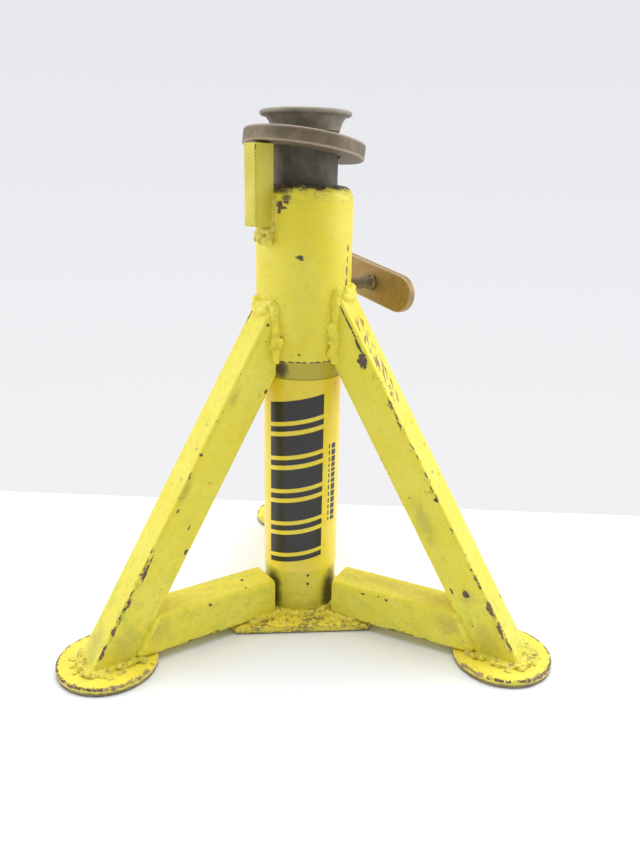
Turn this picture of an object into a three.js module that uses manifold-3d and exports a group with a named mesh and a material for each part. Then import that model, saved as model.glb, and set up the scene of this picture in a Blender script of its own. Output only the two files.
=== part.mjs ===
// A three-legged pipe jack stand. A post of 1-1/2 inch pipe slides inside a standing 2 inch pipe
// and is held at any height by a tilted lock ring and a clamp screw. Units are millimetres, +Z is
// up, and the origin is on the floor at the middle of the base plate.
import * as THREE from 'three';
import { mergeVertices } from 'three/addons/utils/BufferGeometryUtils.js';
import Module from 'manifold-3d';

const wasm = await Module();
wasm.setup();

// ---- driving dimensions ----

const GAP = 0.3; // left between pieces that touch
const SIDES = 64; // facets round a pipe
const RIM_SIDES = 48; // facets round a piece with a curved profile
const CURVE_STEPS = 4; // facets along a curved profile

const PLATE_THICKNESS = 6.35; // base plate, foot pads and handle are all 1/4 inch plate
const PAD_RADIUS = 38.1;
const BASE_APOTHEM = 48.4; // middle of the base plate to its long edges
const BASE_HALF_EDGE = 54.5; // half the length of a long edge

const CENTER_PIPE_RADIUS = 30.165; // 2 inch pipe
const CENTER_PIPE_BORE = 26.25;
const LABEL_BOTTOM = 45.9; // a printed wrap round the centre pipe, open at the back
const LABEL_TOP = 210.4;
const LABEL_THICKNESS = 0.35;
const LABEL_SPAN = THREE.MathUtils.degToRad(300);
const SLEEVE_RADIUS = 36.515; // 2-1/2 inch pipe
const SLEEVE_BORE = 31.35;
const SLEEVE_BOTTOM = 225;
const SLEEVE_TOP = 341;
const POST_RADIUS = 24.15; // 1-1/2 inch pipe
const POST_BORE = 20.45;
const POST_TOP = 388.5;

const HEAD_TOP = 402.6;
const HEAD_RADIUS = 33.5;
const HEAD_EDGE_RADIUS = 1.85; // rounding of the lip's edge
const HEAD_NECK_RADIUS = 25; // a little more than the post's
const HEAD_FLARE_WIDTH = 6.1; // how far the flare under the lip swells outwards
const HEAD_MOUTH_CHAMFER = 1;

const LEG_SIDE = 30; // 30 mm square tube
const STRUT_SIDE = 31.75; // 1-1/4 inch square tube
const TUBE_CORNER = 3.5;
const TUBE_WALL = 3.2;
const LEG_SLOPE = 0.594; // how far the leg moves in for each millimetre of height
const LEG_ANGLE = Math.atan(LEG_SLOPE);

// Azimuths are measured from the front, -Y, towards +X, and a leg's reach is from the stand's
// axis to its centreline at floor level. The stand is welded by hand, so the legs, pads and
// struts each sit a few millimetres off a perfect third of a circle.
const LEGS = [
  { side: 'left', azimuth: -61, reach: 176.4, padReach: 172.7, strutStart: 34.5 },
  { side: 'right', azimuth: 59.5, reach: 182.6, padReach: 178.8, strutStart: 38 },
  { side: 'rear', azimuth: 180, reach: 180.3, padReach: 176.6, strutStart: 36 },
];

const RING_RADIUS = 44.8;
const RING_BORE = 26.9;
const RING_THICKNESS = 10.5;
const RING_HEIGHT = 379.3; // middle of the ring
const RING_TILT = THREE.MathUtils.degToRad(8.85);
const RING_SHIFT = 1.2; // the loose ring lies this far off the post's axis, towards its rest

const BLOCK_AZIMUTH = -53; // the ring rests on this side and droops on the other
const BLOCK_WIDTH = 14.3;
const BLOCK_START = 34; // notched to sit over the sleeve's edge
const BLOCK_END = 50.8;
const BLOCK_CORNER = 1.8;
const BLOCK_BOTTOM = 323;
const BLOCK_TOP = 378.8;

const CLAMP_AZIMUTH = 127;
const CLAMP_HEIGHT = 276;
const CLAMP_RADIUS = 4.76; // 3/8 inch rod
const CLAMP_HOLE = 5.1;
const HANDLE_REACH = 73.4; // inner face of the handle
const HANDLE_LENGTH = 90;
const HANDLE_WIDTH = 30;
const HANDLE_BEVEL = 0.8;
const HANDLE_TURN = THREE.MathUtils.degToRad(12.4);

const BEAD = 5; // size of the fillet welds
const LEG_TOP_BEAD = 3.6;
const SLEEVE_WELD_HEIGHT = 11;

// ---- materials ----

const PAINT = 0xd8cf3e;
const BRIGHT_PAINT = 0xf0df45;
const BARE_STEEL = 0x746a58;
const DARK_STEEL = 0x5d5546;
const BRASSY_STEEL = 0x9a8455;

function painted(color) {
  return new THREE.MeshStandardMaterial({ color, roughness: 0.45, metalness: 0 });
}

function bareMetal(color) {
  return new THREE.MeshStandardMaterial({ color, roughness: 0.5, metalness: 0.8 });
}

// ---- from geometry to solid and back ----

function toSolid(geometry) {
  const bare = geometry.clone();
  bare.deleteAttribute('normal');
  bare.deleteAttribute('uv');
  const merged = mergeVertices(bare, 1e-4);
  return new wasm.Manifold(new wasm.Mesh({
    numProp: 3,
    vertProperties: Float32Array.from(merged.attributes.position.array),
    triVerts: Uint32Array.from(merged.index.array),
  }));
}

function toGeometry(solid) {
  const mesh = solid.getMesh();
  const geometry = new THREE.BufferGeometry();
  geometry.setAttribute('position', new THREE.BufferAttribute(mesh.vertProperties, 3));
  geometry.setIndex(new THREE.BufferAttribute(mesh.triVerts, 1));
  geometry.computeVertexNormals();
  return geometry;
}

function piece(name, shape, material) {
  const geometry = shape.isBufferGeometry ? shape : toGeometry(shape);
  const mesh = new THREE.Mesh(geometry, material);
  mesh.name = name;
  return mesh;
}

// ---- basic shapes; in each, X points away from the stand's axis and Z is up ----

// A turned shape about Z. The profile holds [radius, height] pairs, anticlockwise.
function turned(profile, sides = SIDES) {
  const points = profile.map(([radius, height]) => new THREE.Vector2(radius, height));
  points.push(points[0].clone());
  return new THREE.LatheGeometry(points, sides).rotateX(Math.PI / 2);
}

function pipe(outer, bore, bottom, top) {
  return turned([[bore, bottom], [outer, bottom], [outer, top], [bore, top]]);
}

function disc(radius, bottom, top, sides = SIDES) {
  const height = top - bottom;
  return new THREE.CylinderGeometry(radius, radius, height, sides)
    .rotateX(Math.PI / 2)
    .translate(0, 0, (bottom + top) / 2);
}

// A rod along X, at a given height.
function rod(radius, start, end, height, sides = 24) {
  return new THREE.CylinderGeometry(radius, radius, end - start, sides)
    .rotateZ(-Math.PI / 2)
    .translate((start + end) / 2, 0, height);
}

function block(start, end, halfWidth, bottom, top) {
  return new THREE.BoxGeometry(end - start, 2 * halfWidth, top - bottom)
    .translate((start + end) / 2, 0, (bottom + top) / 2);
}

function roundedRectangle(depth, width, corner) {
  const x = depth / 2 - corner;
  const y = width / 2 - corner;
  const shape = new THREE.Shape();
  shape.moveTo(depth / 2, -y);
  shape.absarc(x, y, corner, 0, Math.PI / 2);
  shape.absarc(-x, y, corner, Math.PI / 2, Math.PI);
  shape.absarc(-x, -y, corner, Math.PI, 1.5 * Math.PI);
  shape.absarc(x, -y, corner, 1.5 * Math.PI, 2 * Math.PI);
  return shape;
}

// A bar standing on Z = 0, square unless it is given a width.
function bar(depth, corner, length, width = depth) {
  return new THREE.ExtrudeGeometry(roundedRectangle(depth, width, corner), {
    depth: length,
    bevelEnabled: false,
    curveSegments: 4,
  });
}

// The turn about Z that takes +X to an azimuth.
function turnTo(azimuth) {
  return THREE.MathUtils.degToRad(azimuth - 90);
}

// ---- legs, struts and feet ----

const LEG_START_HEIGHT = -30; // the bar is made too long and cut to fit at both ends
const LEG_LENGTH = 367;

function legBar(reach, side, corner) {
  const startReach = reach - LEG_SLOPE * LEG_START_HEIGHT;
  const tube = bar(side, corner, LEG_LENGTH)
    .rotateY(-LEG_ANGLE)
    .translate(startReach, 0, LEG_START_HEIGHT);
  return toSolid(tube);
}

function sleeveCylinder(radius) {
  return toSolid(disc(radius, 0, 2 * SLEEVE_TOP));
}

function floorCut(height) {
  return toSolid(block(-10, 400, 60, -100, height));
}

function legShape(reach) {
  return legBar(reach, LEG_SIDE, TUBE_CORNER)
    .subtract(legBar(reach, LEG_SIDE - 2 * TUBE_WALL, TUBE_CORNER - TUBE_WALL))
    .subtract(sleeveCylinder(SLEEVE_RADIUS + GAP))
    .subtract(floorCut(PLATE_THICKNESS + GAP));
}

const STRUT_BOTTOM = PLATE_THICKNESS + GAP;
const STRUT_TOP = STRUT_BOTTOM + STRUT_SIDE;
const STRUT_END = 170; // made too long, then cut to the slope of the leg

function strutBar(side, corner, start) {
  const tube = bar(side, corner, STRUT_END - start)
    .rotateY(Math.PI / 2)
    .translate(start, 0, (STRUT_BOTTOM + STRUT_TOP) / 2);
  return toSolid(tube);
}

// Everything outside the leg's inner face.
function beyondLegFace(reach, clearance) {
  const thickness = 120;
  const slab = new THREE.BoxGeometry(thickness, 100, 2 * LEG_LENGTH)
    .translate((thickness - LEG_SIDE) / 2 - clearance, 0, 0)
    .rotateY(-LEG_ANGLE)
    .translate(reach, 0, 0);
  return toSolid(slab);
}

function strutShape(leg) {
  const start = leg.strutStart;
  return strutBar(STRUT_SIDE, TUBE_CORNER, start)
    .subtract(strutBar(STRUT_SIDE - 2 * TUBE_WALL, TUBE_CORNER - TUBE_WALL, start - 1))
    .subtract(beyondLegFace(leg.reach, GAP));
}

function strutEnvelope(leg, clearance) {
  const start = leg.strutStart - clearance;
  const halfWidth = STRUT_SIDE / 2 + clearance;
  return toSolid(block(start, STRUT_END, halfWidth, 0, STRUT_TOP + clearance))
    .subtract(beyondLegFace(leg.reach, 0));
}

function footPad(reach) {
  return disc(PAD_RADIUS, 0, PLATE_THICKNESS, 48).translate(reach, 0, 0);
}

// The weld that runs up, over and down the leg where it meets the sleeve.
function legTopWeld(reach) {
  return legBar(reach, LEG_SIDE + 2 * LEG_TOP_BEAD, TUBE_CORNER + LEG_TOP_BEAD)
    .intersect(sleeveCylinder(SLEEVE_RADIUS + LEG_TOP_BEAD))
    .subtract(sleeveCylinder(SLEEVE_RADIUS + GAP))
    .subtract(legBar(reach, LEG_SIDE + 2 * GAP, TUBE_CORNER + GAP))
    .subtract(floorCut(SLEEVE_BOTTOM - 2));
}

// The weld round the outside of the leg's foot, open where the strut comes in.
function footWeld(leg) {
  const bottom = PLATE_THICKNESS + GAP;
  const slab = toSolid(block(leg.reach - 25, leg.reach + 40, 40, bottom, bottom + BEAD));
  return legBar(leg.reach, LEG_SIDE + 2 * BEAD, TUBE_CORNER + BEAD)
    .intersect(slab)
    .subtract(legBar(leg.reach, LEG_SIDE + 2 * GAP, TUBE_CORNER + GAP))
    .subtract(strutEnvelope(leg, GAP));
}

// A bead up one side of the seam between strut and leg, above the foot weld; hand is 1 or -1.
function strutEndWeld(leg, hand) {
  const beadRadius = 3;
  const bottom = STRUT_BOTTOM + BEAD + GAP + beadRadius;
  const top = STRUT_TOP - TUBE_CORNER;
  const middle = (bottom + top) / 2;
  const reach = leg.reach - LEG_SIDE / 2 / Math.cos(LEG_ANGLE) - LEG_SLOPE * middle;
  const bead = new THREE.CapsuleGeometry(beadRadius, (top - bottom) / Math.cos(LEG_ANGLE), 4, 12)
    .rotateX(Math.PI / 2)
    .rotateY(-LEG_ANGLE)
    .translate(reach, hand * STRUT_SIDE / 2, middle);
  const inside = toSolid(block(0, 300, STRUT_SIDE / 2 + GAP, -50, 200));
  return toSolid(bead).subtract(inside);
}

function addLeg(group, leg) {
  const side = new THREE.Group();
  side.rotation.z = turnTo(leg.azimuth);
  side.add(piece(`leg_${leg.side}`, legShape(leg.reach), painted(PAINT)));
  side.add(piece(`strut_${leg.side}`, strutShape(leg), painted(PAINT)));
  side.add(piece(`foot_pad_${leg.side}`, footPad(leg.padReach), painted(BRIGHT_PAINT)));
  side.add(piece(`leg_top_weld_${leg.side}`, legTopWeld(leg.reach), painted(PAINT)));
  side.add(piece(`foot_weld_${leg.side}`, footWeld(leg), painted(PAINT)));
  side.add(piece(`strut_weld_${leg.side}_a`, strutEndWeld(leg, -1), painted(PAINT)));
  side.add(piece(`strut_weld_${leg.side}_b`, strutEndWeld(leg, 1), painted(PAINT)));
  group.add(side);
}

// ---- base ----

// A triangle with cropped corners: long edges between the legs, short edges under the struts.
function basePlate() {
  const shape = new THREE.Shape();
  const edgeMiddles = [0, 120, 240];
  edgeMiddles.forEach((azimuth, index) => {
    const turn = turnTo(azimuth);
    for (const along of [-BASE_HALF_EDGE, BASE_HALF_EDGE]) {
      const x = BASE_APOTHEM * Math.cos(turn) - along * Math.sin(turn);
      const y = BASE_APOTHEM * Math.sin(turn) + along * Math.cos(turn);
      if (index === 0 && along < 0) shape.moveTo(x, y);
      else shape.lineTo(x, y);
    }
  });
  shape.closePath();
  return new THREE.ExtrudeGeometry(shape, { depth: PLATE_THICKNESS, bevelEnabled: false });
}

// One run of weld: a fillet round the foot of the centre pipe that runs out along both sides of
// each strut.
function baseWeld() {
  const bottom = PLATE_THICKNESS + GAP;
  const inner = CENTER_PIPE_RADIUS + GAP;
  const outer = inner + 3.4;
  const beadEnd = 64;
  let weld = toSolid(turned([[inner, bottom], [outer, bottom], [inner, bottom + 2 * BEAD]]));
  for (const leg of LEGS) {
    for (const hand of [-1, 1]) {
      const bead = rod(BEAD, inner - 3, beadEnd, bottom, 16)
        .translate(0, hand * (STRUT_SIDE / 2 + GAP), 0)
        .rotateZ(turnTo(leg.azimuth));
      weld = weld.add(toSolid(bead));
    }
  }
  weld = weld.subtract(toSolid(disc(inner, 0, SLEEVE_BOTTOM)));
  weld = weld.subtract(toSolid(disc(3 * BASE_APOTHEM, -BEAD - GAP, bottom)));
  for (const leg of LEGS) {
    const keepOut = strutEnvelope(leg, GAP).rotate([0, 0, leg.azimuth - 90]);
    weld = weld.subtract(keepOut);
  }
  return weld;
}

// ---- standing pipe, sleeve and ring rest ----

function clampHole() {
  const hole = rod(CLAMP_HOLE, 10, 60, CLAMP_HEIGHT).rotateZ(turnTo(CLAMP_AZIMUTH));
  return toSolid(hole);
}

function centerPipe() {
  const bottom = PLATE_THICKNESS + GAP;
  return toSolid(pipe(CENTER_PIPE_RADIUS, CENTER_PIPE_BORE, bottom, SLEEVE_TOP))
    .subtract(clampHole());
}

// Laid round the front of the pipe, with its open edges at the back.
function wrapLabel() {
  const inner = CENTER_PIPE_RADIUS + GAP;
  const middle = turnTo(0);
  const shape = new THREE.Shape();
  const start = middle - LABEL_SPAN / 2;
  const end = middle + LABEL_SPAN / 2;
  shape.absarc(0, 0, inner + LABEL_THICKNESS, start, end);
  shape.absarc(0, 0, inner, end, start, true);
  return new THREE.ExtrudeGeometry(shape, {
    depth: LABEL_TOP - LABEL_BOTTOM,
    bevelEnabled: false,
    curveSegments: SIDES,
  }).translate(0, 0, LABEL_BOTTOM);
}

function outerSleeve() {
  return toSolid(pipe(SLEEVE_RADIUS, SLEEVE_BORE, SLEEVE_BOTTOM, SLEEVE_TOP))
    .subtract(clampHole());
}

// The rounded weld that closes the sleeve onto the top of the centre pipe.
function sleeveTopWeld() {
  const bottom = SLEEVE_TOP + GAP;
  const inner = CENTER_PIPE_BORE + 0.35;
  const flat = 1;
  const width = SLEEVE_RADIUS - inner - flat;
  const height = SLEEVE_WELD_HEIGHT;
  const profile = [[inner, bottom], [SLEEVE_RADIUS, bottom]];
  for (let step = 1; step <= CURVE_STEPS; step += 1) {
    const turn = step / CURVE_STEPS * Math.PI / 2;
    profile.push([
      inner + flat + width * Math.cos(turn) ** 0.7,
      bottom + height * Math.sin(turn) ** 0.7,
    ]);
  }
  profile.push([inner, bottom + height]);
  return turned(profile, RIM_SIDES);
}

function ringRest() {
  const depth = BLOCK_END - BLOCK_START;
  const upright = bar(depth, BLOCK_CORNER, BLOCK_TOP - BLOCK_BOTTOM, BLOCK_WIDTH)
    .translate((BLOCK_START + BLOCK_END) / 2, 0, BLOCK_BOTTOM);
  const notchTop = SLEEVE_TOP + GAP + SLEEVE_WELD_HEIGHT + GAP;
  return toSolid(upright)
    .subtract(toSolid(disc(SLEEVE_RADIUS + GAP, 0, notchTop)))
    .rotate([0, 0, BLOCK_AZIMUTH - 90]);
}

// The lump of weld under the block, against the sleeve.
function ringRestWeld() {
  const lump = new THREE.SphereGeometry(1, 20, 14)
    .scale(9, 10, 11)
    .translate(SLEEVE_RADIUS, 0, BLOCK_BOTTOM - 4);
  const room = block(0, 100, 30, BLOCK_BOTTOM - GAP, BLOCK_TOP);
  return toSolid(lump)
    .subtract(sleeveCylinder(SLEEVE_RADIUS + GAP))
    .subtract(toSolid(room))
    .rotate([0, 0, BLOCK_AZIMUTH - 90]);
}

// ---- post, head and lock ring ----

function post() {
  const bottom = PLATE_THICKNESS + 2 * GAP;
  return pipe(POST_RADIUS, POST_BORE, bottom, POST_TOP);
}

// The flared mouth that heads drop into: its flare and its rounded lip are one turned profile.
function postHead() {
  const bottom = POST_TOP + GAP;
  const lipMiddle = HEAD_TOP - HEAD_EDGE_RADIUS;
  const lipCentre = HEAD_RADIUS - HEAD_EDGE_RADIUS;
  const flareHeight = lipMiddle - HEAD_EDGE_RADIUS - bottom;
  const profile = [[POST_BORE, bottom]];
  for (let step = 0; step <= CURVE_STEPS; step += 1) {
    const turn = step / CURVE_STEPS * Math.PI / 2;
    profile.push([
      HEAD_NECK_RADIUS + HEAD_FLARE_WIDTH * (1 - Math.cos(turn)) ** 0.75,
      bottom + flareHeight * Math.sin(turn),
    ]);
  }
  for (let step = 0; step <= CURVE_STEPS; step += 1) {
    const turn = (step / CURVE_STEPS - 0.5) * Math.PI;
    profile.push([
      lipCentre + HEAD_EDGE_RADIUS * Math.cos(turn),
      lipMiddle + HEAD_EDGE_RADIUS * Math.sin(turn),
    ]);
  }
  profile.push([POST_BORE + HEAD_MOUTH_CHAMFER, HEAD_TOP]);
  profile.push([POST_BORE, HEAD_TOP - HEAD_MOUTH_CHAMFER]);
  return turned(profile, RIM_SIDES);
}

function lockRing() {
  const half = RING_THICKNESS / 2;
  const chamfer = 0.8;
  const ring = turned([
    [RING_BORE, -half],
    [RING_RADIUS - chamfer, -half],
    [RING_RADIUS, chamfer - half],
    [RING_RADIUS, half - chamfer],
    [RING_RADIUS - chamfer, half],
    [RING_BORE, half],
  ], 72);
  return ring
    .rotateY(-RING_TILT)
    .translate(RING_SHIFT, 0, RING_HEIGHT)
    .rotateZ(turnTo(BLOCK_AZIMUTH));
}

// ---- clamp screw ----

function clampScrew() {
  return rod(CLAMP_RADIUS, POST_RADIUS + GAP, HANDLE_REACH - GAP, CLAMP_HEIGHT);
}

function clampHandle() {
  const straight = (HANDLE_LENGTH - HANDLE_WIDTH) / 2;
  const radius = HANDLE_WIDTH / 2 - HANDLE_BEVEL;
  const shape = new THREE.Shape();
  shape.moveTo(-straight, -radius);
  shape.absarc(straight, 0, radius, -Math.PI / 2, Math.PI / 2);
  shape.absarc(-straight, 0, radius, Math.PI / 2, 1.5 * Math.PI);
  const plate = new THREE.ExtrudeGeometry(shape, {
    depth: PLATE_THICKNESS - 2 * HANDLE_BEVEL,
    bevelSize: HANDLE_BEVEL,
    bevelThickness: HANDLE_BEVEL,
    bevelSegments: 1,
    curveSegments: 12,
  });
  const acrossX = new THREE.Matrix4().makeBasis(
    new THREE.Vector3(0, 1, 0),
    new THREE.Vector3(0, 0, 1),
    new THREE.Vector3(1, 0, 0),
  );
  return plate
    .applyMatrix4(acrossX)
    .rotateX(HANDLE_TURN)
    .translate(HANDLE_REACH + HANDLE_BEVEL, 0, CLAMP_HEIGHT);
}

// The collar of weld between the rod and the handle.
function handleWeld() {
  const inner = CLAMP_RADIUS + GAP;
  const end = HANDLE_REACH - GAP;
  return turned([[inner, -4], [inner + 0.6, -4], [8, -1], [8, 0], [inner, 0]], 32)
    .rotateY(Math.PI / 2)
    .translate(end, 0, CLAMP_HEIGHT);
}

// ---- the assembly ----

const stand = new THREE.Group();
stand.add(piece('base_plate', basePlate(), painted(PAINT)));
stand.add(piece('base_weld', baseWeld(), painted(PAINT)));
for (const leg of LEGS) addLeg(stand, leg);
stand.add(piece('center_pipe', centerPipe(), painted(PAINT)));
stand.add(piece('wrap_label', wrapLabel(), painted(BRIGHT_PAINT)));
stand.add(piece('outer_sleeve', outerSleeve(), painted(PAINT)));
stand.add(piece('sleeve_top_weld', sleeveTopWeld(), painted(PAINT)));
stand.add(piece('ring_rest_block', ringRest(), painted(PAINT)));
stand.add(piece('ring_rest_weld', ringRestWeld(), painted(PAINT)));
stand.add(piece('inner_post', post(), bareMetal(DARK_STEEL)));
stand.add(piece('post_head', postHead(), bareMetal(BARE_STEEL)));
stand.add(piece('lock_ring', lockRing(), bareMetal(BARE_STEEL)));

const clamp = new THREE.Group();
clamp.rotation.z = turnTo(CLAMP_AZIMUTH);
clamp.add(piece('clamp_screw', clampScrew(), bareMetal(DARK_STEEL)));
clamp.add(piece('clamp_handle', clampHandle(), bareMetal(BRASSY_STEEL)));
clamp.add(piece('clamp_handle_weld', handleWeld(), bareMetal(DARK_STEEL)));
stand.add(clamp);

export default stand;
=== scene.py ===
"""A yellow three-legged pipe jack stand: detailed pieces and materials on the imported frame."""
import math
import random

import bmesh
import bpy
from mathutils import Matrix, Vector, noise


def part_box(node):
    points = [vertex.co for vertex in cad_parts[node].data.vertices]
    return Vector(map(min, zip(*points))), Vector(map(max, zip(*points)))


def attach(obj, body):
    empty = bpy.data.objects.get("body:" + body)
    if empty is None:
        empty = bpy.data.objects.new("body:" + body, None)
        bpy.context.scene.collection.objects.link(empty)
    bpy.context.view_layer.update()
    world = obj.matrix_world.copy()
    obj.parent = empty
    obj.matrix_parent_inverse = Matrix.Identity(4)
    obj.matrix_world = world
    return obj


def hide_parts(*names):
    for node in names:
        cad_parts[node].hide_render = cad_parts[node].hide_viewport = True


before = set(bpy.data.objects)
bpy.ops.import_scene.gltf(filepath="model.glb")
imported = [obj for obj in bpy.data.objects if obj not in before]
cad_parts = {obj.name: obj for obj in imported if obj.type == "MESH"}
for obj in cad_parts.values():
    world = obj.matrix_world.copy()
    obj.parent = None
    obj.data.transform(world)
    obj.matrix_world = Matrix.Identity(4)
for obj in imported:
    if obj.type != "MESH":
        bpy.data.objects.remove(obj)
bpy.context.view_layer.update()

MM = 0.001
FAR = 40.0  # stands for "nowhere near an edge", in mm

# ---- sizes in mm, read from the frame where a node's box gives them ----


def low(node):
    return Vector(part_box(node)[0]) / MM


def high(node):
    return Vector(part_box(node)[1]) / MM


def radius_of(node):
    return (high(node).x - low(node).x) / 2


def middle(node):
    return (low(node) + high(node)) / 2


def points_of(node):
    return [vertex.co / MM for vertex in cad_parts[node].data.vertices]


def turned_to(azimuth):
    """Turns X to an azimuth in degrees, counted anticlockwise from the front."""
    return Matrix.Rotation(math.radians(azimuth - 90), 4, "Z")


LEG_SIDE = 30.0
STRUT_SIDE = 31.75
TUBE_CORNER = 3.5
TUBE_WALL = 3.2
LEG_SLOPE = 0.594
LEG_LEAN = math.atan(LEG_SLOPE)
PLATE_THICKNESS = high("base_plate").z
WELD_FLOOR = low("center_pipe").z
PIPE_RADIUS = radius_of("center_pipe")
SLEEVE_RADIUS = radius_of("outer_sleeve")
SLEEVE_BOTTOM = low("outer_sleeve").z
SLEEVE_TOP = high("outer_sleeve").z
RING_TILT = math.radians(8.85)
BLOCK_TURN = turned_to(-53)
BLOCK_WIDTH = 14.3
BLOCK_START = 34.0
BLOCK_END = 50.8
RING_BORE = 26.9
RING_RADIUS = 44.8
RING_THICKNESS = 10.5
RING_SHIFT = 1.2
HEAD_NECK_RADIUS = 25.0
CLAMP_PLACE = Matrix.Translation((0, 0, middle("clamp_screw").z)) @ turned_to(127)
CLAMP_HOLE = 5.1
SCREW_START = 24.45
SCREW_END = 73.1
SCREW_RADIUS = 4.76
THREAD_PITCH = 25.4 / 16
THREAD_DEPTH = 0.85
HANDLE_REACH = 73.4
HANDLE_LENGTH = 90.0
HANDLE_WIDTH = 30.0
HANDLE_THICKNESS = 6.35
HANDLE_TURN = math.radians(12.4)
LABEL_HALF_TURN = math.radians(150)
PRINT_THICKNESS = 0.05

# ---- meshes ----


class Shape:
    """A mesh in the making. Each point has its distance from the nearest edge and, for the
    materials, its place in the piece's own axes. All are in mm."""

    def __init__(self):
        self.points = []
        self.faces = []
        self.edges = []
        self.locals = []

    def ring(self, points, edges, places=None):
        start = len(self.points)
        self.points += points
        self.edges += edges
        self.locals += places or points
        return range(start, len(self.points))

    def bridge(self, first, second, closed=True):
        count = len(first)
        for i in range(count if closed else count - 1):
            j = (i + 1) % count
            self.faces.append((first[i], first[j], second[j], second[i]))

    def fan(self, ring):
        centre = sum((self.points[i] for i in ring), Vector()) / len(ring)
        place = sum((self.locals[i] for i in ring), Vector()) / len(ring)
        tip = self.ring([centre], [FAR], [place])[0]
        for i in range(len(ring)):
            self.faces.append((ring[i], ring[(i + 1) % len(ring)], tip))

    def close(self, rings):
        """Joins rings into a tube with capped ends."""
        for first, second in zip(rings, rings[1:]):
            self.bridge(first, second)
        self.fan(rings[0])
        self.fan(rings[-1])

    def moved(self, matrix):
        self.points = [matrix @ point for point in self.points]
        return self

    def roughened(self, amount, size):
        """Moves every point a little, by noise of that size."""
        noise.seed_set(1)  # unseeded, noise_vector changes from run to run
        self.points = [point + noise.noise_vector(point / size) * amount for point in self.points]
        return self


def in_scene(name, data):
    thing = bpy.data.objects.new(name, data)
    bpy.context.scene.collection.objects.link(thing)
    return thing


def with_modifiers(thing):
    """The mesh of a thing with its modifiers applied. The thing itself goes."""
    graph = bpy.context.evaluated_depsgraph_get()
    result = bpy.data.meshes.new_from_object(thing.evaluated_get(graph))
    bpy.data.objects.remove(thing)
    return result


def mesh_from(shape, name):
    mesh = bpy.data.meshes.new(name)
    mesh.from_pydata([point * MM for point in shape.points], [], shape.faces)
    set_attributes(mesh, shape.edges, shape.locals)
    work = bmesh.new()
    work.from_mesh(mesh)
    bmesh.ops.recalc_face_normals(work, faces=work.faces)
    work.to_mesh(mesh)
    work.free()
    return mesh


def set_attributes(mesh, edges, places):
    edge = mesh.attributes.new("edge", "FLOAT", "POINT")
    edge.data.foreach_set("value", [float(value) for value in edges])
    local = mesh.attributes.new("local", "FLOAT_VECTOR", "POINT")
    local.data.foreach_set("vector", [value for place in places for value in place])


def add_piece(name, mesh, body, material, node=None, smooth=40):
    """Puts a finished mesh in the scene, riding on a body in place of its CAD node."""
    if isinstance(mesh, Shape):
        mesh = mesh_from(mesh, name)
    piece = in_scene(name, mesh)
    mesh.shade_smooth()
    mesh.set_sharp_from_angle(angle=math.radians(smooth))
    mesh.materials.append(material)
    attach(piece, body)
    if node:
        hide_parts(node)


# ---- outlines ----

GRADES = (0.5, 1.1, 2.0, 3.2, 5.0, 8.0)  # extra points this far from each corner


def arc(before, corner, after, radius, steps):
    """The points of a rounded corner, and whether it is an outward one."""
    back = (before - corner).normalized()
    ahead = (after - corner).normalized()
    half = back.angle(ahead) / 2
    centre = corner + (back + ahead).normalized() * radius / math.sin(half)
    start = corner + back * radius / math.tan(half) - centre
    outward = back.x * ahead.y - back.y * ahead.x < 0
    turn = (math.pi - 2 * half) * (1 if outward else -1)
    turns = [Matrix.Rotation(turn * step / steps, 2) for step in range(steps + 1)]
    return [centre + rotation @ start for rotation in turns], outward


def outline(corners, radius, steps=6):
    """An anticlockwise outline with rounded corners, as (point, distance from an edge) pairs."""
    corners = [Vector(corner) for corner in corners]
    count = len(corners)
    arcs = [
        arc(corners[i - 1], corners[i], corners[(i + 1) % count], radius, steps)
        for i in range(count)
    ]
    result = []
    for i, (points, outward) in enumerate(arcs):
        next_points, next_outward = arcs[(i + 1) % count]
        result += [(point, 0.0 if outward else FAR) for point in points]
        start = points[-1]
        end = next_points[0]
        length = (end - start).length
        marks = [grade for grade in GRADES if grade < length / 2]
        marks += [length - mark for mark in reversed(marks)]
        for mark in marks:
            here = mark if outward else FAR
            there = length - mark if next_outward else FAR
            result.append((start.lerp(end, mark / length), min(here, there)))
    return result


def rectangle(left, bottom, right, top):
    return [(left, bottom), (right, bottom), (right, top), (left, top)]


def square(side):
    half = side / 2
    return rectangle(-half, -half, half, half)


def polar(radius, turn, height):
    return Vector((radius * math.cos(turn), radius * math.sin(turn), height))


def circle(along, radius, count):
    """Points on a circle round the X axis."""
    turns = [k / count * math.tau for k in range(count)]
    return [Vector((along, radius * math.cos(turn), radius * math.sin(turn))) for turn in turns]


# ---- swept shapes ----


def lathe(profile, sides=160, start=0.0, span=math.tau):
    """Turns a closed outline, whose points are (radius, height), about Z."""
    shape = Shape()
    whole = span >= math.tau
    distances = [distance for _, distance in profile]
    rings = []
    for k in range(sides if whole else sides + 1):
        turn = start + span * k / sides
        rings.append(shape.ring([polar(point.x, turn, point.y) for point, _ in profile], distances))
    for first, second in zip(rings, rings[1:]):
        shape.bridge(first, second)
    if whole:
        shape.bridge(rings[-1], rings[0])
    else:
        shape.faces.append(tuple(rings[0]))
        shape.faces.append(tuple(rings[-1]))
    return shape


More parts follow.
